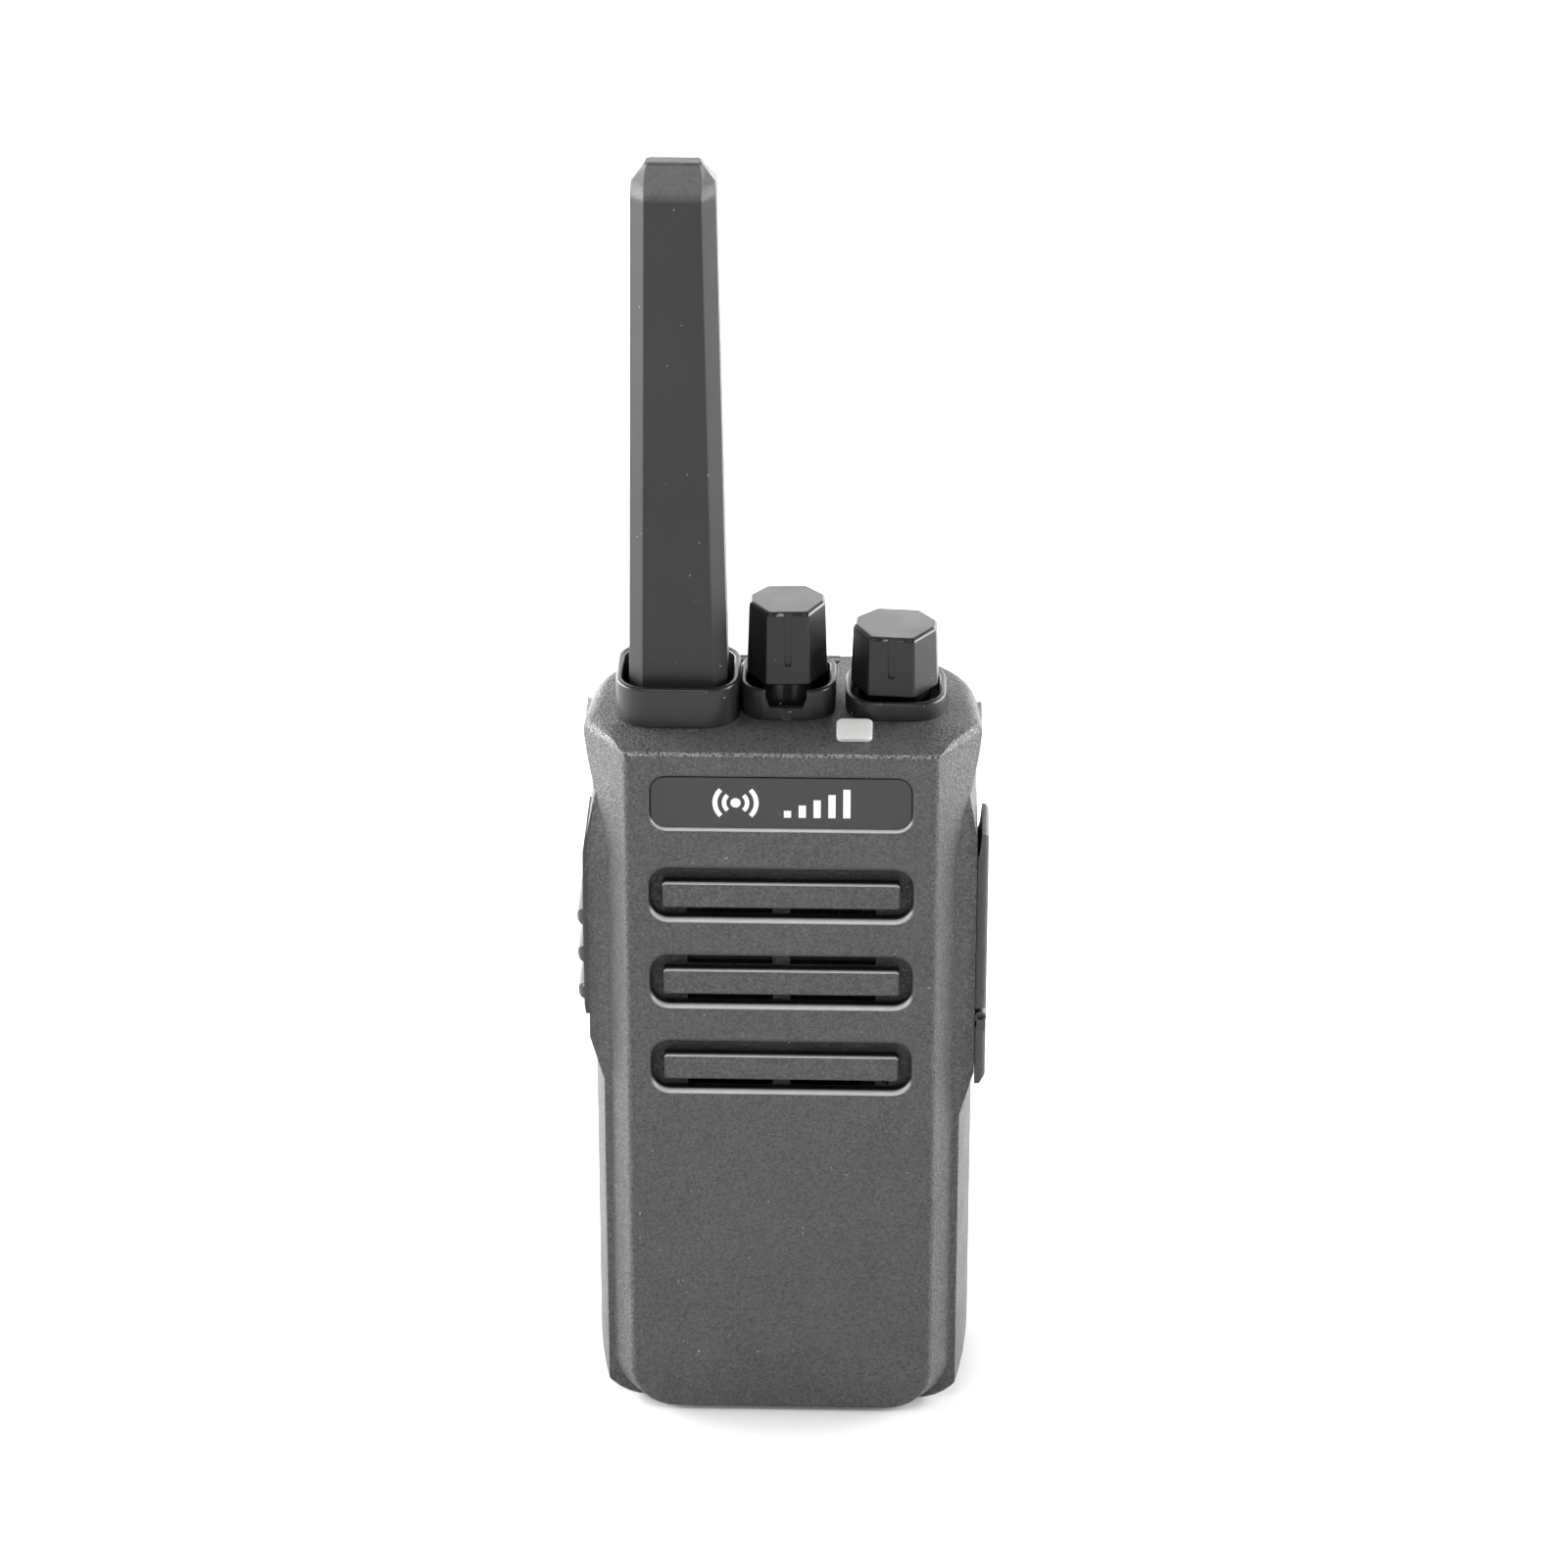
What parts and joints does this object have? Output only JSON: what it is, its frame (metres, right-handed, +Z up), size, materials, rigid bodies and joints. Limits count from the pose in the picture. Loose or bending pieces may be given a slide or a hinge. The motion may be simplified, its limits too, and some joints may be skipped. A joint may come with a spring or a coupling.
{
  "type": "handheld two-way radio",
  "caption": "Handheld two-way radio with a flat blade antenna, channel and volume knobs, side talk button, socket cover, clip-on battery and belt clip.",
  "frame": {"origin": "on the floor, on the middle line of the body and 16.5 mm behind its front face", "axes": "+Z up along the body and antenna, -Y out of the front face, +X to the user's right when facing the front face"},
  "size_m": [0.0606, 0.0409, 0.1969],
  "materials": {
    "housing": "leather-grained, charcoal black",
    "chassis": "die-cast, fine black powder coat",
    "seal": "dull grey-black",
    "collar": "smooth satin black with polished rims",
    "nameplate": null,
    "lens": "milky translucent, smooth",
    "led": "clear yellowish",
    "speaker_metal": "plated",
    "cone": "matte film",
    "cloth": "fine black acoustic mesh",
    "can": "tinned, dull",
    "board": "green solder mask on glass laminate",
    "chip": "moulded black",
    "control": "moulded grey",
    "nut": "nickel plated",
    "brass": "machined",
    "antenna": "smooth satin overmould",
    "former": "natural nylon",
    "copper": "bare copper wire",
    "knob": "satin sides, duller top face",
    "steel": "ground",
    "spring_steel": "drawn wire",
    "screw": "dark zinc plate",
    "button": "soft-touch black",
    "plunger": "moulded grey",
    "cover": "satin black",
    "gold": "gold flashed",
    "battery_case": "fine-grained, charcoal black",
    "cell": "blue wrapped",
    "clip": "smooth satin black"
  },
  "bodies": {
    "radio": {"front_housing": "housing", "rear_chassis": "chassis", "chassis_seal": "seal", "speaker_gasket": "seal", "mic_boot": "seal", "antenna_collar": "collar", "channel_collar": "collar", "volume_collar": "collar", "nameplate": "nameplate", "led_lens": "lens", "status_led": "led", "speaker_frame": "speaker_metal", "speaker_cone": "cone", "speaker_mesh": "cloth", "microphone": "can", "shield_cans": "can", "ptt_switches": "can", "main_board": "board", "ptt_board": "board", "board_chips": "chip", "jack_block": "chip", "contact_block": "chip", "channel_switch": "control", "volume_control": "control", "control_nuts": "nut", "antenna_socket": "brass", "antenna_ferrule": "brass", "antenna_sheath": "antenna", "antenna_core": "former", "antenna_coil": "copper", "cover_pin": "steel", "strap_bar": "steel", "cover_screw": "screw", "chassis_screws": "screw", "cover_base": "cover", "contact_springs": "gold"},
    "channel_control": {"channel_knob": "knob", "channel_shaft": "steel"},
    "volume_dial": {"volume_knob": "knob", "volume_shaft": "steel"},
    "talk_button": {"ptt_button": "button", "ptt_plungers": "plunger"},
    "socket_cover": {"jack_cover": "cover"},
    "battery": {"battery_tray": "battery_case", "battery_cover": "battery_case", "battery_cells": "cell", "battery_board": "board", "battery_terminals": "gold", "charge_contacts": "gold", "latch_spring": "spring_steel", "clip_bracket": "clip", "clip_screws": "screw", "clip_pin": "steel", "clip_spring": "spring_steel"},
    "release_latch": {"battery_latch": "clip"},
    "clip_lever": {"belt_clip": "clip"}
  },
  "joints": [
    {"name": "channel_turn", "type": "hinge", "parent": "radio", "child": "channel_control", "pos_m": [0.0005, -0.0006, 0.113], "axis": [0, 0, -1], "range_deg": [0, 337.5]},
    {"name": "volume_turn", "type": "hinge", "parent": "radio", "child": "volume_dial", "pos_m": [0.0162, -0.0002, 0.113], "axis": [0, 0, -1], "range_deg": [0, 290]},
    {"name": "ptt_press", "type": "slide", "parent": "radio", "child": "talk_button", "axis": [1, 0, 0], "range_m": [0, 0.0008], "stiffness_N_per_m": 2000, "springref_m": -0.0006},
    {"name": "cover_open", "type": "hinge", "parent": "radio", "child": "socket_cover", "pos_m": [0.0295, -0.006, 0.0662], "axis": [0, 1, 0], "range_deg": [0, 120]},
    {"name": "battery_tilt", "type": "hinge", "parent": "radio", "child": "battery", "pos_m": [0, 0.0155, 0.0868], "axis": [1, 0, 0], "range_deg": [0, 12]},
    {"name": "latch_push", "type": "slide", "parent": "battery", "child": "release_latch", "axis": [0, 0, 1], "range_m": [0, 0.002], "stiffness_N_per_m": 300, "springref_m": -0.003, "deforming": ["latch_spring"]},
    {"name": "clip_squeeze", "type": "hinge", "parent": "battery", "child": "clip_lever", "pos_m": [0, 0.021, 0.072], "axis": [1, 0, 0], "range_deg": [0, 18], "stiffness_Nm_per_rad": 0.3, "springref_deg": -17.19}
  ]
}
